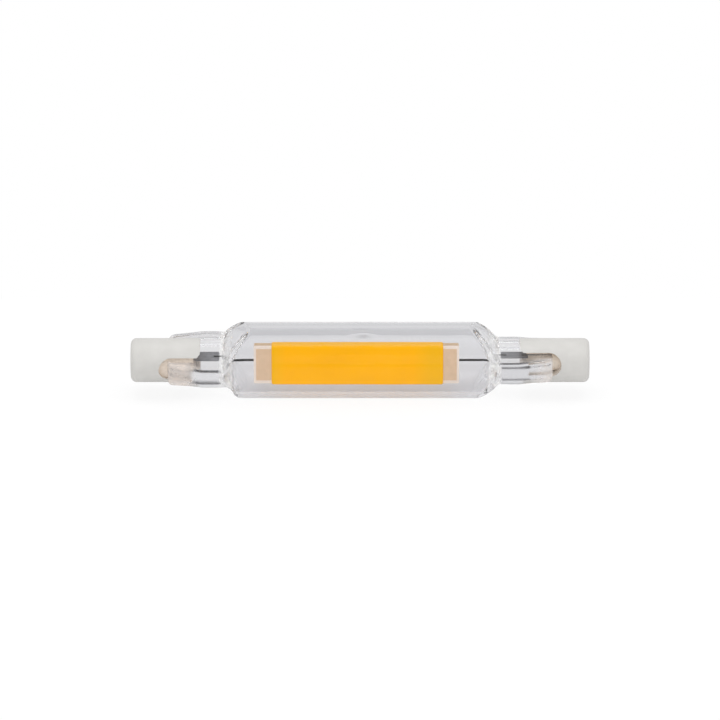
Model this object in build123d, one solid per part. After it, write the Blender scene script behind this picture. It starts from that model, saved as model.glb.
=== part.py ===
from build123d import *
import os
from math import acos, atan2, degrees, radians, tan

# Double-ended tube lamp, millimetres. X runs along the lamp, -Y is the lit face, +Z is up,
# and the origin is the middle of the lamp on its axis.

# Lamp as a whole
overall_length = 78.0
contact_depth = 1.55  # from the end of each cap to its contact

# Glass envelope: a tube whose softened ends are pinched flat
tube_diameter = 13.0
tube_wall = 1.0
shoulder_length = 3.8  # along the axis, from the round tube to the flat seal
crease_round = 0.6  # where the pinched faces meet the round tube
cavity_round = 1.6
cavity_tip = 0.7  # height of the hollow where the two pinched walls meet
cavity_corner = 1.6  # how far the hollow draws in at its two end corners
seal_length = 9.5
seal_thickness = 3.0
ridge_height = 0.55  # edge ridges of the seal, above its flat faces
ridge_width = 1.25
ridge_slope = 30.0  # degrees that the inner side of a ridge leans
ridge_round = 0.25
seal_draw = 0.25  # each edge of the seal lies this far inside the tube's outline
seal_taper = 5.9  # length over which the seal narrows
seal_narrowing = 1.2  # at each edge, at the end of the glass
seal_taper_round = 8.0
seal_corner_round = 1.3
seal_edge_round = 0.9
seal_roll = {"left": 13.0, "right": 2.5}  # degrees that each seal is turned out of level

# Exhaust tip, melted off on the back of the tube
tip_base = 3.4
tip_top = 1.5
tip_top_round = 0.6
tip_height = 0.95
tip_place = 0.5  # along the axis
tip_rise = 6.0  # degrees above level
tip_dimple = 1.4
tip_dimple_end = 0.3

# LED board and its coat
board_gap = {"left": 1.33, "right": 2.55}  # from the end of the round tube to the board
board_side_gap = 2.075  # from the bore to each long edge, at the axis
board_thickness = 1.3
board_drop = 0.25  # below the axis
board_corner = 0.3
bare_end = {"left": 3.02, "right": 2.7}  # board left bare by the coat
coat_face = 0.3  # thickness over the flat faces
coat_edge = 0.15  # thickness over the long edges
coat_round = 0.12

# Dies under the coat
chip_length = 0.7
chip_width = 0.38
chip_height = 0.15
chip_pitch = 1.0  # at least
chip_row_pitch = 1.9
chip_margin = 0.7  # from the end of the coat to the middle of the first die
chip_side_margin = 1.2  # from the edge of the board to the middle of the outer rows
rectifier_size = 1.2
regulator_length = 1.5
regulator_width = 2.2
driver_height = 0.2
driver_margin = 1.2  # from the end of the coat to the driver dies
driver_gap = 0.6  # between the driver dies, and from them to the last light die

# Pads and solder
pad_inset = 0.6  # from the long edges of the board
pad_end_inset = 0.4  # from the ends of the board
pad_thickness = 0.05
back_pad_length = 2.1
back_pad_width = 2.6
solder_length = 1.5
solder_width = 1.3
solder_height = 0.55
solder_round = 0.35
solder_cap = 0.15  # solder past the end of the lead

# Leads and seal foils
lead_diameter = 0.4
lead_on_board = 2.1  # length of lead behind the board
foil_cover = 0.7  # glass between the root of the seal and the foil
foil_length = 4.7
foil_width = 2.8
foil_thickness = 0.05
foil_corner = 0.4
weld_length = 1.0  # lead flattened onto the foil
weld_flat = 0.1  # distance of that flat from the lead's axis

# Ceramic caps
cap_diameter = 7.5
cap_length = 11.8
cap_web = 2.75  # ceramic between the slot and the seat of the contact
cap_end_round = 1.0
slot_gap = 0.6  # on each flat side of the seal
slot_end_gap = 1.5  # past the end of the seal
slot_mouth = 0.55
recess_diameter = 4.8
recess_mouth = 0.3
cap_turn = {"left": 0.48, "right": 0.85}  # share of its free turn on the seal

# Contacts, flush with the floor of the recess
contact_step = 0.3  # from the wall of the recess to the edge of the head
contact_gap = 0.05  # round the head, in its seat
contact_head = 0.5
contact_edge = 0.15
shank_diameter = 1.6
shank_back = 0.95  # from the slot to the end of the shank
shank_gap = 0.1  # round the shank, in the cap
contact_skin = 0.3  # metal left over the end of the lead

# Cement
cement_sink = {"left": 0.45, "right": 2.0}  # below the round face of the cap
cement_back = 1.1  # from the mouth of the slot

# Values that follow
half_length = overall_length / 2
contact_face = half_length - contact_depth
contact_seat = contact_face - contact_head
contact_radius = recess_diameter / 2 - contact_step
slot_end = contact_seat - cap_web
seal_end = slot_end - slot_end_gap
seal_start = seal_end - seal_length
shoulder_start = seal_start - shoulder_length
tube_radius = tube_diameter / 2
bore_radius = tube_radius - tube_wall
seal_width = tube_diameter - 2 * seal_draw
ridge_top = seal_thickness / 2 + ridge_height
shoulder_slope = atan2(tube_radius - seal_thickness / 2, shoulder_length)
cap_radius = cap_diameter / 2
cap_mouth = half_length - cap_length
slot_width = seal_thickness + 2 * slot_gap
free_turn = degrees(acos(seal_thickness / cap_diameter) - acos(slot_width / cap_diameter))
cap_roll = {side: seal_roll[side] - cap_turn[side] * free_turn for side in seal_roll}
lead_radius = lead_diameter / 2
foil_start = seal_start + foil_cover
foil_end = foil_start + foil_length
board_end = {side: shoulder_start - board_gap[side] for side in board_gap}
board_length = board_end["left"] + board_end["right"]
board_width = 2 * (bore_radius - board_side_gap)
board_back = -lead_radius - pad_thickness
board_front = board_back - board_thickness
coat_end = {side: board_end[side] - bare_end[side] for side in board_end}


def prism(points, radii, plane, depth):
    """Closed outline with rounded corners, extruded to both sides of its plane."""
    outline = FilletPolyline(*points, radius=radii, close=True)
    return extrude(plane * make_face(outline), depth, both=True)


def rod(start, end, radius):
    """Round bar along X, from one place to another."""
    return Pos(start, 0, 0) * Rot(0, 90, 0) * extrude(Circle(radius), end - start)


def block(x, y, z):
    """Box between two places on each axis."""
    size = (x[1] - x[0], y[1] - y[0], z[1] - z[0])
    return Pos(x[0], y[0], z[0]) * Box(*size, align=(Align.MIN, Align.MIN, Align.MIN))


def mirrored_outline(points, radii):
    """Outline above an axis, followed by its mirror image below."""
    below = [(x, -y) for x, y in reversed(points)]
    return points + below, radii + radii[::-1]


def to_end(piece, side, roll):
    """Roll a piece of the right-hand end about the axis, or swing it round to the left-hand end."""
    if side == "right":
        return Rot(roll, 0, 0) * piece
    return Rot(0, 0, 180) * Rot(-roll, 0, 0) * piece


def to_side(piece, side):
    """Mirror a piece of the board's right-hand end where it belongs at the left."""
    return mirror(piece, Plane.YZ) if side == "left" else piece


def pinched_end():
    """Outside of one end: half the tube, the wedge of the shoulder and the flat seal."""
    wedge_view = [(0, tube_radius), (shoulder_start, tube_radius), (seal_start, seal_thickness / 2)]
    wedge = prism(*mirrored_outline(wedge_view, [0, 0, 0]), Plane.XZ, tube_diameter)
    shoulder = rod(0, seal_start, tube_radius) & wedge
    crease = shoulder.edges().filter_by(GeomType.ELLIPSE)
    return fillet(crease, min(crease_round, seal_thickness / 4)) + seal_blade()


def seal_edge(x):
    """Distance from the axis to the edge of the seal."""
    return seal_width / 2 - seal_narrowing * max(0, x - seal_end + seal_taper) / seal_taper


def seal_blade():
    """Flat seal with a ridge along each edge."""
    ends = (shoulder_start, seal_end - seal_taper, seal_end)
    corners = [0, seal_taper_round, seal_corner_round]
    outline = mirrored_outline([(x, seal_edge(x)) for x in ends], corners)
    blade = prism(*outline, Plane.XY, ridge_top)
    flats = blade.faces().filter_by(Axis.Z)
    rim = [e for face in flats for e in face.edges() if e.center().X - shoulder_start > seal_edge_round]
    blade = fillet(rim, seal_edge_round)
    inset = ridge_width + ridge_height * tan(radians(ridge_slope))
    ends = (shoulder_start, seal_end - seal_taper, seal_end + seal_taper)
    floor, _ = mirrored_outline([(x, seal_edge(x) - inset) for x in ends], [])
    channel = extrude(make_face(Polyline(*floor, close=True)), ridge_height, taper=-ridge_slope)
    channel = Pos(0, 0, seal_thickness / 2) * channel
    blade = blade - channel - Rot(180, 0, 0) * channel
    middle = (ridge_width + seal_edge_round) / 2
    tops = [face for face in blade.faces().filter_by(Axis.Z) if abs(face.center().Y) > seal_edge_round]
    edges = [edge for face in tops for edge in face.edges()]
    crests = [e for e in edges if abs(e.center().Y) < seal_edge(e.center().X) - middle]
    return fillet(crests, ridge_round)


def hollow_end():
    """Inside of one end: half the bore, closing to a flat tip between the pinched walls."""
    corner = shoulder_start - tube_wall * tan(shoulder_slope / 2)
    tip = corner + (bore_radius - cavity_tip / 2) / tan(shoulder_slope)
    side_view = [(0, bore_radius), (corner, bore_radius), (tip, cavity_tip / 2)]
    rounds = [0, cavity_round, cavity_tip / 4]
    wedge = prism(*mirrored_outline(side_view, rounds), Plane.XZ, tube_diameter)
    top_view = [(0, bore_radius), (corner, bore_radius), (tip, bore_radius - cavity_corner)]
    corners = [0, cavity_corner, cavity_corner / 2]
    tongue = prism(*mirrored_outline(top_view, corners), Plane.XY, tube_diameter)
    return rod(0, tip, bore_radius) & wedge & tongue


def exhaust_tip():
    """Melted-off nub on the back of the tube, and the dimple left inside it."""
    root = bore_radius + tube_wall / 2
    top = tube_radius + tip_height
    nub_view = [(0, root), (tip_base / 2, root), (tip_top / 2, top), (0, top)]
    outline = FilletPolyline(*nub_view, radius=[0, 0, tip_top_round, 0], close=True)
    nub = revolve(Plane.XZ * make_face(outline), Axis.Z)
    bottom = Pos(0, 0, bore_radius - tube_wall / 2)
    dimple_height = 1.5 * tube_wall + tip_height / 2
    upward = (Align.CENTER, Align.CENTER, Align.MIN)
    cone = Cone(tip_dimple / 2, tip_dimple_end / 2, dimple_height, align=upward)
    place = Pos(tip_place, 0, 0) * Rot(tip_rise - 90, 0, 0)
    return place * nub, place * (bottom * cone)


def flattened_lead(start, end, flat_start, flat_end):
    """Wire along the axis, with a flat on the stretch that is welded to the foil."""
    flat = block((flat_start, flat_end), (-lead_diameter, lead_diameter), (-lead_diameter, -weld_flat))
    return rod(start, end, lead_radius) - flat


def inner_lead(side):
    """Wire from the back of the board to the foil."""
    weld_end = foil_start + weld_length
    return flattened_lead(board_end[side] - lead_on_board, weld_end, foil_start, weld_end)


def outer_lead():
    """Wire from the foil to the contact."""
    weld_start = foil_end - weld_length
    lead_end = contact_face - contact_skin
    return flattened_lead(weld_start, lead_end, weld_start, foil_end)


def seal_foil():
    """Thin strip in the middle of the seal, against the flats of both leads."""
    strip = extrude(RectangleRounded(foil_length, foil_width, foil_corner), -foil_thickness)
    return Pos((foil_start + foil_end) / 2, 0, -weld_flat) * strip


def slot_void():
    """Slot of the cap: flared at its mouth and round at its end."""
    centre = slot_end - slot_width / 2
    side_view = [
        (cap_mouth - slot_mouth, slot_width / 2 + 2 * slot_mouth),
        (cap_mouth + slot_mouth, slot_width / 2),
        (centre, slot_width / 2),
    ]
    straight = prism(*mirrored_outline(side_view, [0, 0, 0]), Plane.XZ, cap_diameter)
    return straight + Pos(centre, 0, 0) * Rot(90, 0, 0) * Cylinder(slot_width / 2, 2 * cap_diameter)


def ceramic_cap():
    """Forked ceramic cap with a sunk seat for the contact."""
    body = rod(cap_mouth, half_length, cap_radius)
    body = fillet(body.edges().sort_by(Axis.X)[-1], cap_end_round)
    recess = rod(contact_face, half_length, recess_diameter / 2)
    seat = rod(contact_seat, contact_face, contact_radius + contact_gap)
    passage = rod(slot_end - slot_width / 2, contact_seat, shank_diameter / 2 + shank_gap)
    cap = body - recess - seat - passage - slot_void()
    mouth = cap.edges().filter_by(GeomType.CIRCLE).sort_by(Axis.X)[-2:].sort_by(SortBy.RADIUS)[0]
    return chamfer(mouth, recess_mouth)


def end_contact():
    """Contact button with a hollow shank that takes the end of the outer lead."""
    head = rod(contact_seat, contact_face, contact_radius)
    head = fillet(head.edges().sort_by(Axis.X)[-1], contact_edge)
    shank = rod(slot_end + shank_back, contact_seat, shank_diameter / 2)
    return head + shank - outer_lead()


def cap_cement(side):
    """Cement in the slot, round the glass and the lead."""
    fill = slot_void() & rod(cap_mouth + cement_back, slot_end, cap_radius - cement_sink[side])
    cement = to_end(fill, side, cap_roll[side])
    for held in ("glass_envelope", f"seal_foil_{side}", f"outer_lead_{side}"):
        cement = cement - parts[held]
    return cement


def led_board():
    """Ceramic strip, lit face towards -Y."""
    middle = (board_end["right"] - board_end["left"]) / 2
    face = Plane.XZ * RectangleRounded(board_length, board_width, board_corner)
    return Pos(middle, board_back, -board_drop) * extrude(face, board_thickness)


def board_block(x, height, z):
    """Box standing on the lit face of the board, in the board's own height."""
    return block(x, (board_front - height, board_front), (z[0] - board_drop, z[1] - board_drop))


def driver_dies():
    """Regulator and rectifier, side by side at the right-hand end of the coat."""
    regulator_end = coat_end["right"] - driver_margin
    rectifier_end = regulator_end - regulator_length - driver_gap
    regulator_x = (regulator_end - regulator_length, regulator_end)
    rectifier_x = (rectifier_end - rectifier_size, rectifier_end)
    regulator = board_block(regulator_x, driver_height, (-regulator_width / 2, regulator_width / 2))
    rectifier = board_block(rectifier_x, driver_height, (-rectifier_size / 2, rectifier_size / 2))
    return regulator, rectifier, rectifier_x[0]


def led_chips(room_end):
    """Rows of dies, from the left-hand end of the coat to the driver dies."""
    first = chip_margin - coat_end["left"]
    last = room_end - driver_gap - chip_length / 2
    columns = int((last - first) / chip_pitch) + 1
    pitch = (last - first) / (columns - 1)
    rows = int((board_width - 2 * chip_side_margin) / chip_row_pitch) + 1
    dies = []
    for column in range(columns):
        x = first + column * pitch
        for row in range(rows):
            z = (row - (rows - 1) / 2) * chip_row_pitch
            x_span = (x - chip_length / 2, x + chip_length / 2)
            dies.append(board_block(x_span, chip_height, (z - chip_width / 2, z + chip_width / 2)))
    return dies


def phosphor_coat(covered):
    """Sleeve moulded over the board and its dies."""
    half_width = board_width / 2 + coat_edge
    sleeve = block(
        (-coat_end["left"], coat_end["right"]),
        (board_front - coat_face, board_back + coat_face),
        (-half_width - board_drop, half_width - board_drop),
    )
    sleeve = fillet(sleeve.edges().filter_by(Axis.X), coat_round)
    for piece in covered:
        sleeve = sleeve - piece
    return sleeve


def front_pad(side):
    """Pad on the lit face, between the coat and the end of the board."""
    half_width = board_width / 2 - pad_inset
    x = (coat_end[side], board_end[side] - pad_end_inset)
    return board_block(x, pad_thickness, (-half_width, half_width))


def back_pad(side):
    """Pad on the back of the board, under the lead."""
    end = board_end[side] - pad_end_inset
    y = (board_back, board_back + pad_thickness)
    return block((end - back_pad_length, end), y, (-back_pad_width / 2, back_pad_width / 2))


def solder_joint(side):
    """Bead of solder over the end of the lead."""
    centre = board_end[side] - lead_on_board - solder_cap + solder_length / 2
    base = Plane.XZ * SlotOverall(solder_length, solder_width)
    bead = Pos(centre, -lead_radius, 0) * extrude(base, -solder_height)
    bead = fillet(bead.faces().sort_by(Axis.Y)[-1].edges(), solder_round)
    return bead - inner_lead(side)


parts = {}

for side in ("left", "right"):
    parts[f"inner_lead_{side}"] = to_end(inner_lead(side), side, seal_roll[side])
    parts[f"seal_foil_{side}"] = to_end(seal_foil(), side, seal_roll[side])
    parts[f"outer_lead_{side}"] = to_end(outer_lead(), side, seal_roll[side])

end, hollow = pinched_end(), hollow_end()
glass = to_end(end, "left", seal_roll["left"]) + to_end(end, "right", seal_roll["right"])
bore = to_end(hollow, "left", seal_roll["left"]) + to_end(hollow, "right", seal_roll["right"])
nub, dimple = exhaust_tip()
glass = glass + nub - bore - dimple
for piece in list(parts.values()):
    glass = glass - piece
parts["glass_envelope"] = glass

parts["led_board"] = led_board()
parts["regulator_chip"], parts["rectifier_chip"], chips_end = driver_dies()
chips = led_chips(chips_end)
parts["led_chips"] = Compound(chips)
covered = [parts["led_board"], parts["regulator_chip"], parts["rectifier_chip"]] + chips
parts["phosphor_coat"] = phosphor_coat(covered)

for side in ("left", "right"):
    parts[f"front_pad_{side}"] = to_side(front_pad(side), side)
    parts[f"back_pad_{side}"] = to_side(back_pad(side), side)
    parts[f"solder_joint_{side}"] = to_side(solder_joint(side), side)
    parts[f"ceramic_cap_{side}"] = to_end(ceramic_cap(), side, cap_roll[side])
    parts[f"end_contact_{side}"] = to_end(end_contact(), side, seal_roll[side])
    parts[f"cap_cement_{side}"] = cap_cement(side)

os.makedirs("parts", exist_ok=True)
for name, part in parts.items():
    export_step(part, f"parts/{name}.step")
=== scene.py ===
import math

import bpy
import numpy as np
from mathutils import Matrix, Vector, noise


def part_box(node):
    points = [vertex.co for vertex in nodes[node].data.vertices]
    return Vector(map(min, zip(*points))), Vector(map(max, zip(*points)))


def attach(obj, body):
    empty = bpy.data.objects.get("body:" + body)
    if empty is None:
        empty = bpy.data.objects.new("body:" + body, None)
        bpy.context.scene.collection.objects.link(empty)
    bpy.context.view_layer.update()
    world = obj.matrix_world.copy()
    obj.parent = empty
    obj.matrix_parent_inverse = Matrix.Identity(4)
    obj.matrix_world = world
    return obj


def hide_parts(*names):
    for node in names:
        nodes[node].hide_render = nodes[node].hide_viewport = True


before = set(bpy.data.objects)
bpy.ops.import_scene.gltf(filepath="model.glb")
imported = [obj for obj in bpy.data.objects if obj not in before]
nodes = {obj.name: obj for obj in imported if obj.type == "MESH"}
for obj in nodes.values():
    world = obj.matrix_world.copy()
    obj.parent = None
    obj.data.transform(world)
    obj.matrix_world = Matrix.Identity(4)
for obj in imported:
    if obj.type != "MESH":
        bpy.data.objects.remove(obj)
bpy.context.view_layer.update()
MM = 0.001
LEFT, RIGHT = -1, 1

# Glass envelope: all sizes in millimetres, along the lamp from its middle and out from its axis
glass_low, glass_high = (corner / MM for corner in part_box("glass_envelope"))
tube_radius = glass_high.z
tube_wall = 1.0
seal_end = glass_high.x
seal_length = 9.5
seal_start = seal_end - seal_length
shoulder_length = 3.8
shoulder_start = seal_start - shoulder_length
seal_roll = {LEFT: math.radians(13.0), RIGHT: math.radians(2.5)}

# Flat seal: a floor between two ridges along its edges, narrower and rounded at its end
seal_floor = 1.5
floor_soft = 0.1
ridge_top = 2.05
ridge_width = 1.25
ridge_run = 0.55
edge_inset = 0.25
seal_half = tube_radius - edge_inset
taper_length = 5.9
taper_start = seal_end - taper_length
seal_narrowing = 1.2
corner_round = 1.3
edge_round = 0.65
cement_start = 28.2
cement_bite = 0.03
bite_run = 0.5

# Edges of the seal lean over: degrees at the front and the back, and how far in from the edge
edge_lean = {LEFT: (10.0, 2.0), RIGHT: (4.0, 11.0)}
lean_pivot = 1.25
lean_from = 2.0
lean_full = 0.6

# Shoulders pinched by hand: shift of each, later start above and below, earlier end below, all at the front
shoulder_shift = {LEFT: 0.1, RIGHT: 0.3}
late_above = {LEFT: 1.9, RIGHT: 1.2}
late_below = {LEFT: 0.9, RIGHT: 0.4}
early_end = {LEFT: 1.2, RIGHT: -0.3}
crease_soft = 0.85
root_soft = 0.5
flatten_before = 0.9
flatten_after = 0.6

# Hollow of the tube
bore_radius = tube_radius - tube_wall
shoulder_slope = math.atan2(tube_radius - seal_floor, shoulder_length)
hollow_corner = shoulder_start - tube_wall * math.tan(shoulder_slope / 2)
hollow_half_tip = 0.35
hollow_tip = hollow_corner + (bore_radius - hollow_half_tip) / math.tan(shoulder_slope)
hollow_tip_soft = 0.3
hollow_corner_round = 1.6
hollow_soft = 0.85
soft_for_height = 1.5
least_soft = 0.01

# Exhaust tip at the back: a broad flare and the nub where the tube was melted off
tip_place = 0.5
tip_angle = math.radians(8.0)
flare_radius = 3.6
flare_height = 0.43
nub_radius = 2.8
nub_height = 0.36

# Unevenness left by the jaws: where each kind rises and falls, its waves to a millimetre and its share
press_depth = 0.07
shoulder_zone = ((shoulder_start, seal_start), (seal_start + 0.2, seal_start + 1.2))
root_zone = ((seal_start - 1.6, seal_start - 0.6), (seal_start, seal_start + 0.6))
line_zone = ((seal_start, seal_start + 1.0), (seal_end - 1.2, seal_end - 0.4))
calm_edge = (seal_half - 2.2, seal_half - 1.0)
shoulder_wave, shoulder_seed = 0.6, 3.1
root_wave, root_seed, root_share = 1.9, 5.3, 0.6
line_wave, line_seed, line_share = 2.6, 7.7, 0.25
line_stretch = 0.05
edge_calming = 0.2
tiny = 1e-6

# Rings of the glass: points around, and stretches along with their steps
outer_around = 288
inner_around = 216
tip_stretch, tip_step = (-3.0, 4.0), 0.22
tube_from = 4.2
tube_stretch = (tube_from, shoulder_start - 1.0)
shoulder_stretch, shoulder_step = (shoulder_start - 0.9, seal_start + 1.0), 0.1
seal_stretch, seal_step = (seal_start + 1.1, seal_end - corner_round), 0.5
hollow_end_run = 0.5
hollow_tube_stretch = (tube_from, hollow_corner - 1.2)
hollow_shoulder_stretch = (hollow_corner - 1.0, hollow_tip - hollow_end_run)

# Looks of the glass: fine drawn lines, frost and crinkles at the roots of the seals, the frost partly a
# whitish painted highlight, softened edges
clear_rough = 0.02
crinkle_depth = 0.06
line_relief = 0.1
root_look = ((seal_start - 1.6, seal_start - 1.1), (seal_start + 0.3, seal_start + 0.9))
root_rough = 0.2
root_frost_and_highlight = 0.55
root_grain = 1.3
edge_look = (seal_half - 1.2, seal_half - 0.5)
edge_look_run = 0.5
edge_rough = 0.22
frost_and_highlight_tone = (0.82, 0.82, 0.78)

# Film of cement on the front of the glass in the caps
film_start = {LEFT: 27.6, RIGHT: 28.6}
film_full = {LEFT: 29.8, RIGHT: 32.0}
film_share = {LEFT: 0.85, RIGHT: 0.65}
film_thinnest = 0.4
film_back = (2.0, 4.0)
film_rough = 0.3
film_tone = (0.66, 0.565, 0.485)

# Phosphor sleeve: its form, and the paler stretches over the driver dies and at the left end
coat_round = 0.25
coat_end_round = 0.3
coat_unevenness = 0.06
coat_wave, coat_seed = 0.35, 1.9
pale_over_dies = (9.0, 12.0)
left_end_stretch = (-14.8, -12.8)
pale_tone = (0.7, 0.375, 0.006)

# Ceramic caps: cement smeared in the slot, and a brown band at the upper end of the right-hand one
cap_radius = 3.75
slot_end = 34.2
smear_edge = (cap_radius - 0.3, cap_radius - 0.08)
smear_end_run = 0.3
brown_band_along = (slot_end - 1.6, slot_end - 0.4)
brown_band_height = (0.7, 1.7)
brown_band_share = 0.9
brown_band_tone = (0.47, 0.36, 0.17)

# Range in which most of a noise texture's values lie
noise_low, noise_high = 0.3, 0.7

# Studio floor, in millimetres, and how white it is to the eye and through glass
floor_gap = 0.02
floor_front, floor_back, floor_side = -1500, 45, 1500
seen_white = 0.85
bent_white = 0.33
bent_strength = 0.4

# Studio sky: light from the horizon and from above, and what mirrors show in front and behind
horizon_tone, zenith_tone = (0.68, 0.68, 0.69), (0.85, 0.85, 0.86)
zenith_height = 0.9
front_tone, back_tone = (0.06, 0.06, 0.06), (0.8, 0.8, 0.81)
front_to_back = (-0.4, 0.2)

# Photograph: a long lens 22 degrees above level, in metres but for the sensor
view_elevation = math.radians(22.0)
view_distance = 1.1
view_width = 0.1226
sensor_width = 36.0
view_near, view_far = 0.05, 20


def smooth_min(a, b, width):
    """Lesser of two values, with the corner between them rounded."""
    share = np.clip(0.5 + 0.5 * (b - a) / width, 0, 1)
    return b + (a - b) * share - width * share * (1 - share)


def smooth_max(a, b, width):
    """Greater of two values, with the corner between them rounded."""
    return -smooth_min(-a, -b, width)


def smooth_step(low, high, x):
    """Rise from 0 to 1 between two places."""
    share = np.clip((x - low) / (high - low), 0, 1)
    return share * share * (3 - 2 * share)


def zone(x, rise, fall):
    """1 within a stretch, easing to 0 over both its ends."""
    return smooth_step(*rise, x) * (1 - smooth_step(*fall, x))


def quarter_round(x, start, radius):
    """How far a rounded end has drawn in at x."""
    reach = np.clip(x - start, 0, radius)
    return radius - np.sqrt(radius**2 - reach**2)


def end_of(x):
    """End of the lamp that a place belongs to."""
    return RIGHT if x > 0 else LEFT


def full_ring(y, z):
    """Closed ring from its first quarter, which runs from the edge to the middle of the flat."""
    ys = np.concatenate([y[:-1], -y[:0:-1], -y[:-1], y[:0:-1]])
    zs = np.concatenate([z[:-1], z[:0:-1], -z[:-1], -z[:0:-1]])
    return ys, zs


def circle(around, radius):
    """Ring of a round tube."""
    angles = np.linspace(0, 2 * math.pi, around, endpoint=False)
    return radius * np.cos(angles), radius * np.sin(angles)


def pinch(x, y, z):
    """How much later the shoulder starts round a ring, and how much earlier it ends."""
    end = end_of(x)
    radius = np.max(y)
    front = smooth_step(0, radius, -y)
    above = smooth_step(0, radius / 2, z)
    below = smooth_step(0, radius / 2, -z)
    return front * (late_above[end] * above + late_below[end] * below), early_end[end] * front * below


def pressed_flat(z, height, soft):
    """Heights of a ring that is squeezed between two faces."""
    return np.sign(z) * smooth_min(np.abs(z), height, soft)


def seal_quarter(x, count, side_points=40, turn_points=80, flat_points=300):
    """Quarter of the seal's section: edge, ridge and flat, as evenly spaced points."""
    narrowing = seal_narrowing * max(0.0, x - taper_start) / (seal_end - taper_start)
    width = seal_half - narrowing - quarter_round(x, seal_end - corner_round, corner_round)
    drawn_in = quarter_round(x, seal_end - edge_round, edge_round)
    top = ridge_top - drawn_in
    bite = cement_bite * smooth_step(cement_start - bite_run, cement_start, x)
    floor = smooth_min(seal_floor + bite, top, floor_soft)
    side = np.linspace(0, top - edge_round, side_points)
    turn = np.linspace(0, math.pi / 2, turn_points)[1:]
    across = np.linspace(width - edge_round, 0, flat_points)[1:]
    foot = width - ridge_width - ridge_run
    ridge = floor + (top - floor) * smooth_step(foot, foot + ridge_run, across)
    round_y = width - edge_round + edge_round * np.cos(turn)
    round_z = top - edge_round + edge_round * np.sin(turn)
    y = np.concatenate([np.full(side_points, width), round_y, across])
    z = np.concatenate([side, round_z, ridge])
    run = np.concatenate([[0], np.cumsum(np.hypot(np.diff(y), np.diff(z)))])
    places = np.linspace(0, run[-1], count)
    return np.interp(places, run, y), np.interp(places, run, z)


def edge_offset(x, y, z):
    """How far the sides of the seal lean over."""
    front, back = edge_lean[end_of(x)]
    lean = np.radians(np.where(y < 0, front, back))
    near_edge = smooth_step(seal_half - lean_from, seal_half - lean_full, np.abs(y))
    return -near_edge * np.tan(lean) * (z + np.sign(y) * lean_pivot)


def placed(x, y, z):
    """Ring of a section at x, turned with the nearer seal and easing over along the round tube."""
    share = smooth_step(-shoulder_start, shoulder_start, x)
    roll = seal_roll[LEFT] + (seal_roll[RIGHT] - seal_roll[LEFT]) * share
    return np.stack([
        np.full(len(y), x),
        y * math.cos(roll) - z * math.sin(roll),
        y * math.sin(roll) + z * math.cos(roll),
    ], axis=1)


def outer_ring(x, around):
    """Outside of the glass at x."""
    away = abs(x)
    along = away - shoulder_shift[end_of(x)]
    y, z = circle(around, tube_radius)
    late, early = pinch(x, y, z)
    start = shoulder_start + late
    end = seal_start - early
    line = tube_radius - (along - start) * (tube_radius - seal_floor) / (end - start)
    z = pressed_flat(z, smooth_max(line, seal_floor, root_soft), crease_soft)
    share = smooth_step(end - flatten_before, end + flatten_after, along)
    flat_y, flat_z = full_ring(*seal_quarter(away, around // 4 + 1))
    y = y + (flat_y - y) * share
    z = z + (flat_z - z) * share
    return placed(x, y + share * edge_offset(x, y, z), z)


def inner_ring(x, around):
    """Hollow of the glass at x."""
    along = abs(x) - shoulder_shift[end_of(x)]
    y, z = circle(around, bore_radius)
    late, _ = pinch(x, y, z)
    start = hollow_corner + late
    line = bore_radius - (along - start) * (bore_radius - hollow_half_tip) / (hollow_tip - start)
    height = np.maximum(smooth_max(line, hollow_half_tip, hollow_tip_soft), 0)
    height -= quarter_round(along, hollow_tip - hollow_half_tip, hollow_half_tip)
    z = pressed_flat(z, height, np.minimum(hollow_soft, soft_for_height * height + least_soft))
    width = bore_radius - quarter_round(along, hollow_tip - hollow_corner_round, hollow_corner_round)
    return placed(x, y * width / bore_radius, z)


def tip_rise(points):
    """Push the skin out round the exhaust tip."""
    angle = np.arctan2(points[:, 2], points[:, 1]) - tip_angle
    reach = np.hypot(points[:, 0] - tip_place, tube_radius * angle)
    rise = flare_height * (1 - smooth_step(0, flare_radius, reach))
    rise += nub_height * (1 - smooth_step(0, nub_radius, reach))
    points[:, 1] += rise * math.cos(tip_angle)
    points[:, 2] += rise * math.sin(tip_angle)
    return points


def ripple(points, wave, seed):
    """Value of a smooth random field at each point."""
    return np.array([noise.noise(Vector(p) * wave + Vector((seed, seed, seed))) for p in points])


def pressed_skin(points):
    """Press the skin in a little: uneven shoulders, crinkled roots and drawn lines along the seals."""
    away = np.abs(points[:, 0])
    edge = smooth_step(*calm_edge, np.abs(points[:, 1]))
    lengthwise = points * np.array([line_stretch, 1, 1])
    push = zone(away, *shoulder_zone) * ripple(points, shoulder_wave, shoulder_seed)
    push += root_share * zone(away, *root_zone) * ripple(points, root_wave, root_seed)
    lines = zone(away, *line_zone) * ripple(lengthwise, line_wave, line_seed)
    push += (line_share - edge_calming * edge) * lines
    outward = points * np.array([0, 1, 1])
    outward /= np.maximum(np.linalg.norm(outward, axis=1, keepdims=True), tiny)
    return points - press_depth * outward * np.abs(push)[:, None]


def skin(rings, flip, first):
    """Quads between neighbouring rings, and a lid at each end."""
    around = len(rings[0])
    faces = []
    for row in range(len(rings) - 1):
        base = first + row * around
        for k in range(around):
            a, b = base + k, base + (k + 1) % around
            quad = (a, b, b + around, a + around)
            faces.append(quad[::-1] if flip else quad)
    start = tuple(range(first, first + around))
    last = tuple(range(first + (len(rings) - 1) * around, first + len(rings) * around))
    faces.append(start if flip else start[::-1])
    faces.append(last[::-1] if flip else last)
    return faces


def mesh_object(name, points, faces, smooth=True):
    """New mesh from points in millimetres."""
    mesh = bpy.data.meshes.new(name)
    mesh.from_pydata([tuple(p * MM) for p in points], [], faces)
    mesh.polygons.foreach_set("use_smooth", [smooth] * len(mesh.polygons))
    mesh.validate()
    obj = bpy.data.objects.new(name, mesh)
    bpy.context.scene.collection.objects.link(obj)
    return obj


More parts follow.
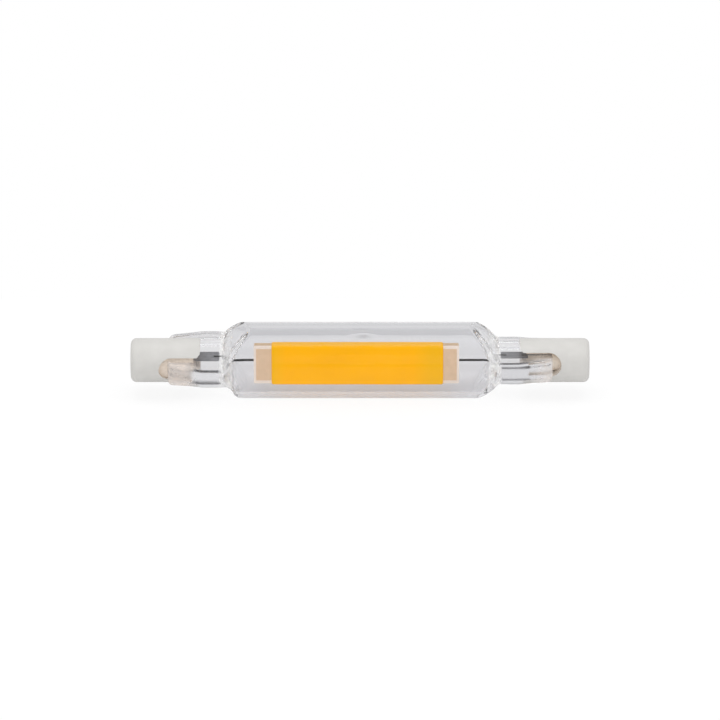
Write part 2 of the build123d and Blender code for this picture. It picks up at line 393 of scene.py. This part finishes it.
def rounding_steps(count):
    """Steps from 1 to 0 along a rounded end, closer together towards its rim."""
    return 1 - np.sin(np.linspace(0, math.pi / 2, count))


def outer_places(tube_rings=9, end_rings=15):
    """Rings along the outside of one end, from the tube to the end of the seal."""
    tube = np.linspace(*tube_stretch, tube_rings)
    shoulder = np.arange(*shoulder_stretch, shoulder_step)
    seal = np.arange(*seal_stretch, seal_step)
    return np.concatenate([tube, shoulder, seal, seal_end - corner_round * rounding_steps(end_rings)])


def inner_places(tube_rings=7, end_rings=9):
    """Rings along the hollow of one end, from the tube to its tip."""
    tube = np.linspace(*hollow_tube_stretch, tube_rings)
    shoulder = np.arange(*hollow_shoulder_stretch, shoulder_step)
    return np.concatenate([tube, shoulder, hollow_tip - hollow_end_run * rounding_steps(end_rings)])


def glass_piece():
    """Envelope with its outside and its hollow."""
    middle = np.arange(*tip_stretch, tip_step)
    half = outer_places()
    outer = [outer_ring(x, outer_around) for x in np.concatenate([-half[::-1], middle, half])]
    hollow = inner_places()
    left = -(hollow + shoulder_shift[LEFT])[::-1]
    right = hollow + shoulder_shift[RIGHT]
    inner = [inner_ring(x, inner_around) for x in np.concatenate([left, middle, right])]
    faces = skin(outer, False, 0) + skin(inner, True, len(outer) * outer_around)
    outside = tip_rise(pressed_skin(np.concatenate(outer)))
    inside = pressed_skin(np.concatenate(inner))
    return mesh_object("glass_tube", np.concatenate([outside, inside]), faces)


def rounded_quarter(half_y, half_z, radius, turn_points=9, side_points=20, top_points=7):
    """Quarter of a rounded rectangle, from the middle of its side to the middle of its top."""
    turn = np.linspace(0, math.pi / 2, turn_points)
    side = np.linspace(0, half_z - radius, side_points)[:-1]
    across = np.linspace(half_y - radius, 0, top_points)[1:]
    y = np.concatenate([np.full(len(side), half_y), half_y - radius + radius * np.cos(turn), across])
    z = np.concatenate([side, half_z - radius + radius * np.sin(turn), np.full(len(across), half_z)])
    return y, z


def coat_piece(body_rings=60, end_rings=7):
    """Phosphor sleeve round the board: soft edges, rounded ends and slightly uneven faces."""
    low, high = (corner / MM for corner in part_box("phosphor_coat"))
    middle = (low + high) / 2
    half = (high - low) / 2
    turn = np.linspace(0, math.pi / 2, end_rings)
    body = np.linspace(0, half.x - coat_end_round, body_rings)[:-1]
    places = np.concatenate([body, half.x - coat_end_round * rounding_steps(end_rings)])
    drawn_in = np.concatenate([np.zeros(len(body)), coat_end_round * (1 - np.cos(turn))])
    places = np.concatenate([-places[:0:-1], places])
    drawn_in = np.concatenate([drawn_in[:0:-1], drawn_in])
    rings = []
    for x, inset in zip(places, drawn_in):
        y, z = full_ring(*rounded_quarter(half.y - inset, half.z - inset, coat_round))
        rings.append(np.stack([np.full(len(y), x), y, z], axis=1))
    points = np.concatenate(rings)
    sunk = coat_unevenness * np.abs(ripple(points, coat_wave, coat_seed))
    points[:, 1] -= np.sign(points[:, 1]) * sunk
    return mesh_object("phosphor_sleeve", points + np.array(middle), skin(rings, False, 0))


def new_material(name):
    """Material with its shader, and the tree to add to."""
    material = bpy.data.materials.new(name)
    material.use_nodes = True
    tree = material.node_tree
    return material, tree, tree.nodes["Principled BSDF"]


def grain(tree, size, detail=3.0, stretch=(1, 1, 1)):
    """Noise over the surface, with features of a size in millimetres."""
    place = tree.nodes.new("ShaderNodeTexCoord")
    scale = tree.nodes.new("ShaderNodeMapping")
    scale.inputs["Scale"].default_value = [s / (size * MM) for s in stretch]
    texture = tree.nodes.new("ShaderNodeTexNoise")
    texture.inputs["Scale"].default_value = 1.0
    texture.inputs["Detail"].default_value = detail
    tree.links.new(place.outputs["Object"], scale.inputs["Vector"])
    tree.links.new(scale.outputs["Vector"], texture.inputs["Vector"])
    return texture.outputs["Fac"]


def ramp(tree, source, first, last, start=noise_low, end=noise_high):
    """Colour that goes from one tone to another along a value."""
    node = tree.nodes.new("ShaderNodeValToRGB")
    for element, place, tone in zip(node.color_ramp.elements, (start, end), (first, last)):
        element.position = place
        element.color = (*tone, 1)
    tree.links.new(source, node.inputs["Fac"])
    return node.outputs["Color"]


def span(tree, source, low, high, start=noise_low, end=noise_high):
    """Value carried from one range to another."""
    node = tree.nodes.new("ShaderNodeMapRange")
    node.inputs["From Min"].default_value = start
    node.inputs["From Max"].default_value = end
    node.inputs["To Min"].default_value = low
    node.inputs["To Max"].default_value = high
    tree.links.new(source, node.inputs["Value"])
    return node.outputs["Result"]


def between(tree, source, low, high, start, end):
    """Value that goes from low to high between two places in millimetres."""
    return span(tree, source, low, high, start * MM, end * MM)


def reading(tree, operation, first, second=0.0):
    """Two values put together."""
    node = tree.nodes.new("ShaderNodeMath")
    node.operation = operation
    for socket, value in zip(node.inputs, (first, second)):
        if isinstance(value, float):
            socket.default_value = value
        else:
            tree.links.new(value, socket)
    return node.outputs["Value"]


def blend(tree, share, first, second):
    """Colour that goes from one source to another."""
    node = tree.nodes.new("ShaderNodeMix")
    node.data_type = "RGBA"
    tree.links.new(share, node.inputs["Factor"])
    for socket, value in ((node.inputs["A"], first), (node.inputs["B"], second)):
        if isinstance(value, tuple):
            socket.default_value = (*value, 1)
        else:
            tree.links.new(value, socket)
    return node.outputs["Result"]


def bump(tree, shader, source, depth):
    """Relief of a depth in millimetres."""
    node = tree.nodes.new("ShaderNodeBump")
    node.inputs["Distance"].default_value = depth * MM
    tree.links.new(source, node.inputs["Height"])
    tree.links.new(node.outputs["Normal"], shader.inputs["Normal"])


def mix_shaders(tree, share, first, second):
    """Surface that goes from one shader to another."""
    mix = tree.nodes.new("ShaderNodeMixShader")
    tree.links.new(share, mix.inputs["Fac"])
    tree.links.new(first, mix.inputs[1])
    tree.links.new(second, mix.inputs[2])
    tree.links.new(mix.outputs["Shader"], tree.nodes["Material Output"].inputs["Surface"])


def parts_of(tree, output):
    """X, Y and Z of a texture coordinate."""
    place = tree.nodes.new("ShaderNodeTexCoord")
    parts = tree.nodes.new("ShaderNodeSeparateXYZ")
    tree.links.new(place.outputs[output], parts.inputs["Vector"])
    return parts.outputs


def place_parts(tree):
    """Place on the lamp, distance from its middle and distance from its axis, in metres."""
    place = parts_of(tree, "Object")
    across = reading(tree, "MULTIPLY", place["Y"], place["Y"])
    upright = reading(tree, "MULTIPLY", place["Z"], place["Z"])
    radius = reading(tree, "SQRT", reading(tree, "ADD", across, upright))
    return place, reading(tree, "ABSOLUTE", place["X"]), radius


def plain_finish(name, dark, light, size, rough, depth=0.01, metal=0.0, stretch=(1, 1, 1)):
    """Mottled solid surface: two close colours, uneven gloss and a fine relief."""
    material, tree, shader = new_material(name)
    tone = grain(tree, size, 4.0, stretch)
    tree.links.new(ramp(tree, tone, dark, light), shader.inputs["Base Color"])
    tree.links.new(span(tree, tone, *rough), shader.inputs["Roughness"])
    shader.inputs["Metallic"].default_value = metal
    bump(tree, shader, grain(tree, size / 4, 5.0, stretch), depth)
    return material


def overlay(material, share, tone):
    """Another tone over part of a finish."""
    tree = material.node_tree
    colour = tree.nodes["Principled BSDF"].inputs["Base Color"]
    tree.links.new(blend(tree, share, colour.links[0].from_socket, tone), colour)


def side_tone_and_painted_shade(material, tone, level=0.5, upright=0.9):
    """Upper and lower sides of another tone, partly their own colour and partly painted shade where the
    front light reaches them less.
    """
    tree = material.node_tree
    height = reading(tree, "ABSOLUTE", parts_of(tree, "Normal")["Z"])
    overlay(material, span(tree, height, 0.0, 1.0, level, upright), tone)
    return material


def cement_film(tree, place):
    """Share of the glass that is under the patchy film of cement."""
    left = between(tree, place["X"], film_share[LEFT], 0.0, -film_full[LEFT], -film_start[LEFT])
    right = between(tree, place["X"], 0.0, film_share[RIGHT], film_start[RIGHT], film_full[RIGHT])
    patchy = span(tree, grain(tree, size=0.9, detail=4.0, stretch=(0.5, 1, 1)), film_thinnest, 1.0)
    film = reading(tree, "MULTIPLY", reading(tree, "MAXIMUM", left, right), patchy)
    return reading(tree, "MULTIPLY", film, between(tree, place["Y"], 1.0, 0.0, *film_back))


def root_of_seals(tree, away):
    """1 at the roots of the seals, where the jaws folded the glass."""
    rise, fall = root_look
    rising = between(tree, away, 0.0, 1.0, *rise)
    return reading(tree, "MULTIPLY", rising, between(tree, away, 1.0, 0.0, *fall))


def edge_of_seals(tree, away, radius):
    """Roughness that blurs the edges of the seals."""
    on_seal = between(tree, away, 0.0, 1.0, seal_start, seal_start + edge_look_run)
    return reading(tree, "MULTIPLY", on_seal, between(tree, radius, 0.0, edge_rough, *edge_look))


def glass_finish():
    """Clear glass that lets light fall on what is inside it, frosted at the roots with partly painted
    highlight, and filmed in the caps.
    """
    material, tree, shader = new_material("clear_glass")
    shader.inputs["IOR"].default_value = 1.46
    shader.inputs["Specular Tint"].default_value = (0.35, 0.35, 0.35, 1)
    tone = grain(tree, size=6.0, stretch=(0.3, 1, 1))
    tint = ramp(tree, tone, (0.885, 0.885, 0.9), (0.91, 0.91, 0.92))
    place, away, radius = place_parts(tree)
    film = cement_film(tree, place)
    root = root_of_seals(tree, away)
    # Whitish frost at the roots of the seals: partly the scatter of crinkled glass, partly painted highlight
    # standing in for their glints
    frost_and_highlight = reading(tree, "MULTIPLY", root, span(tree, grain(tree, root_grain, detail=2.0), 0.0, root_frost_and_highlight))
    colour = blend(tree, frost_and_highlight, blend(tree, film, tint, film_tone), frost_and_highlight_tone)
    tree.links.new(colour, shader.inputs["Base Color"])
    veil = reading(tree, "MAXIMUM", film, frost_and_highlight)
    tree.links.new(span(tree, veil, 1.0, 0.0, 0.0, 1.0), shader.inputs["Transmission Weight"])
    smeared = reading(tree, "MULTIPLY", film, film_rough)
    smeared = reading(tree, "ADD", span(tree, tone, 0.0, clear_rough), smeared)
    folded = reading(tree, "MULTIPLY", root, root_rough)
    pressed = reading(tree, "MAXIMUM", edge_of_seals(tree, away, radius), folded)
    tree.links.new(reading(tree, "ADD", smeared, pressed), shader.inputs["Roughness"])
    lines = reading(tree, "MULTIPLY", grain(tree, size=1.6, stretch=(0.08, 1, 1)), line_relief)
    crinkles = reading(tree, "MULTIPLY", grain(tree, root_grain, detail=1.0), root)
    bump(tree, shader, reading(tree, "ADD", lines, crinkles), crinkle_depth)
    path = tree.nodes.new("ShaderNodeLightPath")
    clear = tree.nodes.new("ShaderNodeBsdfTransparent")
    clear.inputs["Color"].default_value = (0.95, 0.95, 0.955, 1)
    lighting = reading(tree, "MAXIMUM", path.outputs["Is Shadow Ray"], path.outputs["Is Diffuse Ray"])
    mix_shaders(tree, lighting, shader.outputs["BSDF"], clear.outputs["BSDF"])
    return material


def ceramic_finish():
    """Pressed ceramic, with cement smeared over the walls of its slot."""
    material = plain_finish("cap_ceramic", (0.545, 0.535, 0.51), (0.59, 0.58, 0.555),
                            size=3.0, rough=(0.45, 0.6))
    tree = material.node_tree
    place, away, radius = place_parts(tree)
    inside = between(tree, radius, 1.0, 0.0, *smear_edge)
    before_end = between(tree, away, 1.0, 0.0, slot_end, slot_end + smear_end_run)
    slot = reading(tree, "MULTIPLY", inside, before_end)
    smear = ramp(tree, grain(tree, size=0.6), (0.64, 0.57, 0.5), (0.73, 0.67, 0.6))
    # Browner band along the upper end of the right-hand slot
    brown_band_end = between(tree, place["X"], 0.0, 1.0, *brown_band_along)
    brown_band = reading(tree, "MULTIPLY", brown_band_end, between(tree, place["Z"], 0.0, brown_band_share, *brown_band_height))
    overlay(material, slot, blend(tree, brown_band, smear, brown_band_tone))
    return material


def phosphor_finish():
    """Soft yellow coat with a steady painted glow that stands in for the light it turns to yellow."""
    material = plain_finish("phosphor", (0.79, 0.36, 0.0), (0.83, 0.39, 0.001),
                            size=4.0, rough=(0.45, 0.6))
    tree = material.node_tree
    place = parts_of(tree, "Object")
    over_dies = between(tree, place["X"], 0.0, 1.0, *pale_over_dies)
    left_end_share = between(tree, place["X"], 1.0, 0.0, *left_end_stretch)
    overlay(material, reading(tree, "MAXIMUM", over_dies, left_end_share), pale_tone)
    shader = tree.nodes["Principled BSDF"]
    shader.inputs["Specular IOR Level"].default_value = 0.02
    # Painted glow: a fixed emission that stands in for the phosphor's yellow light
    shader.inputs["Emission Color"].default_value = (1.0, 0.45, 0.0, 1)
    shader.inputs["Emission Strength"].default_value = 0.3
    # Duller upper and lower sides of the coat: partly thinner phosphor there, partly painted shade
    return side_tone_and_painted_shade(material, (0.61, 0.335, 0.04))


def board_finish():
    """Pale ceramic strip with browner sawn sides, the brown partly painted shade."""
    material = plain_finish("board_ceramic", (0.86, 0.745, 0.645), (0.91, 0.795, 0.695),
                            size=2.0, rough=(0.5, 0.65))
    # Browner upper and lower sides: partly the sawn edges' own colour, partly painted shade
    return side_tone_and_painted_shade(material, (0.56, 0.4, 0.25))


def dress(names, material):
    """Give a material to the lamp's own solids."""
    for name in names:
        mesh = nodes[name].data
        mesh.materials.clear()
        mesh.materials.append(material)


def pair(name):
    """Left and right piece of a kind."""
    return [f"{name}_left", f"{name}_right"]


glass = glass_piece()
glass.data.materials.append(glass_finish())
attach(glass, "root")
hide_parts("glass_envelope")

coat = coat_piece()
coat.data.materials.append(phosphor_finish())
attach(coat, "root")
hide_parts("phosphor_coat")

die = plain_finish("die", (0.2, 0.22, 0.3), (0.3, 0.33, 0.4),
                   size=0.3, rough=(0.2, 0.35), depth=0.002)
pad = plain_finish("pad_metal", (0.72, 0.515, 0.335), (0.79, 0.57, 0.38),
                   size=0.8, rough=(0.45, 0.6), depth=0.006)
solder = plain_finish("solder", (0.5, 0.5, 0.5), (0.65, 0.65, 0.65),
                      size=0.5, rough=(0.25, 0.4), metal=0.9)
wire = plain_finish("lead_wire", (0.025, 0.024, 0.023), (0.05, 0.048, 0.046),
                    size=0.3, rough=(0.4, 0.55), depth=0.004, metal=0.5, stretch=(0.2, 1, 1))
foil = plain_finish("foil", (0.17, 0.17, 0.18), (0.26, 0.26, 0.27),
                    size=0.7, rough=(0.35, 0.5), depth=0.004, metal=0.4)
cement = plain_finish("cement", (0.6, 0.51, 0.425), (0.69, 0.6, 0.51),
                      size=0.6, rough=(0.7, 0.9), depth=0.04)
# Lighter copy of the cement for the right-hand cap: painted light against the shade at the end of its slot
cement_lit_copy = plain_finish("cement_lit_copy", (0.76, 0.675, 0.58), (0.85, 0.77, 0.675),
                           size=0.6, rough=(0.7, 0.9), depth=0.04)
contact = plain_finish("contact_metal", (0.5, 0.49, 0.46), (0.62, 0.6, 0.57),
                       size=0.8, rough=(0.25, 0.4), depth=0.004, metal=1.0)

dress(pair("ceramic_cap"), ceramic_finish())
dress(["led_board"], board_finish())
dress(["led_chips", "rectifier_chip", "regulator_chip"], die)
dress(pair("front_pad") + pair("back_pad"), pad)
dress(pair("solder_joint"), solder)
dress(pair("inner_lead") + pair("outer_lead"), wire)
dress(pair("seal_foil"), foil)
dress(["cap_cement_left"], cement)
dress(["cap_cement_right"], cement_lit_copy)
dress(pair("end_contact"), contact)


def studio_floor():
    """Pale ground under the lamp, white to the eye and in reflections, with the lamp's shadow on it."""
    low = glass_low.z - floor_gap
    points = np.array([
        (-floor_side, floor_front, low),
        (floor_side, floor_front, low),
        (floor_side, floor_back, low),
        (-floor_side, floor_back, low),
    ])
    floor = mesh_object("floor", points, [(0, 1, 2, 3)], smooth=False)
    material, tree, shader = new_material("floor")
    shader.inputs["Base Color"].default_value = (0.88, 0.88, 0.88, 1)
    shader.inputs["Roughness"].default_value = 0.9
    shader.inputs["Specular IOR Level"].default_value = 0.1
    glow = tree.nodes.new("ShaderNodeEmission")
    path = tree.nodes.new("ShaderNodeLightPath").outputs
    tree.links.new(reading(tree, "MAXIMUM", path["Is Camera Ray"], bent_strength), glow.inputs["Strength"])
    bent = reading(tree, "MAXIMUM", path["Is Glossy Ray"], path["Is Transmission Ray"])
    white = reading(tree, "MAXIMUM", reading(tree, "MULTIPLY", bent, bent_white),
                    reading(tree, "MULTIPLY", path["Is Camera Ray"], seen_white))
    mix_shaders(tree, white, shader.outputs["BSDF"], glow.outputs["Emission"])
    floor.data.materials.append(material)


def studio_sky():
    """Soft even light, dimmer towards the horizon and, in mirror reflections, dark on the camera's side."""
    world = bpy.data.worlds.new("studio")
    world.use_nodes = True
    tree = world.node_tree
    direction = parts_of(tree, "Generated")
    even = ramp(tree, direction["Z"], horizon_tone, zenith_tone, 0.0, zenith_height)
    backward = span(tree, direction["Y"], 0.0, 1.0, *front_to_back)
    mirrored = ramp(tree, backward, front_tone, back_tone, 0.0, 1.0)
    path = tree.nodes.new("ShaderNodeLightPath").outputs
    mirror = reading(tree, "SUBTRACT", path["Is Reflection Ray"], path["Is Diffuse Ray"])
    light = blend(tree, mirror, even, mirrored)
    seen = blend(tree, path["Is Camera Ray"], light, (1, 1, 1))
    tree.links.new(seen, tree.nodes["Background"].inputs["Color"])
    bpy.context.scene.world = world


def aim(obj, place):
    """Put an object at a place, facing the middle of the bulb."""
    obj.location = place
    obj.rotation_mode = "QUATERNION"
    obj.rotation_quaternion = (-Vector(place)).to_track_quat("-Z", "Y")
    bpy.context.scene.collection.objects.link(obj)


def soft_box(name, place, size, power):
    """Broad lamp that faces the middle of the bulb."""
    data = bpy.data.lights.new(name, "AREA")
    data.shape = "RECTANGLE"
    data.size, data.size_y = size
    data.energy = power
    lamp = bpy.data.objects.new(name, data)
    lamp.visible_glossy = False
    lamp.visible_transmission = True
    aim(lamp, place)


def camera():
    """Long lens at the photograph's height."""
    data = bpy.data.cameras.new("camera")
    data.sensor_width = sensor_width
    data.lens = sensor_width * view_distance / view_width
    data.clip_start = view_near
    data.clip_end = view_far
    eye = bpy.data.objects.new("camera", data)
    back = Vector((0, -math.cos(view_elevation), math.sin(view_elevation)))
    aim(eye, back * view_distance)
    bpy.context.scene.camera = eye


studio_floor()
studio_sky()
soft_box("key", place=(0, -0.1, 0.8), size=(0.9, 0.5), power=3.1)
soft_box("fill", place=(0, -0.8, 0.35), size=(0.9, 0.5), power=1.3)
camera()

scene = bpy.context.scene
scene.view_settings.view_transform = "Standard"
scene.cycles.max_bounces = 64
scene.cycles.transmission_bounces = 48
scene.cycles.glossy_bounces = 48
scene.cycles.transparent_max_bounces = 24
scene.cycles.caustics_reflective = False
scene.cycles.caustics_refractive = False
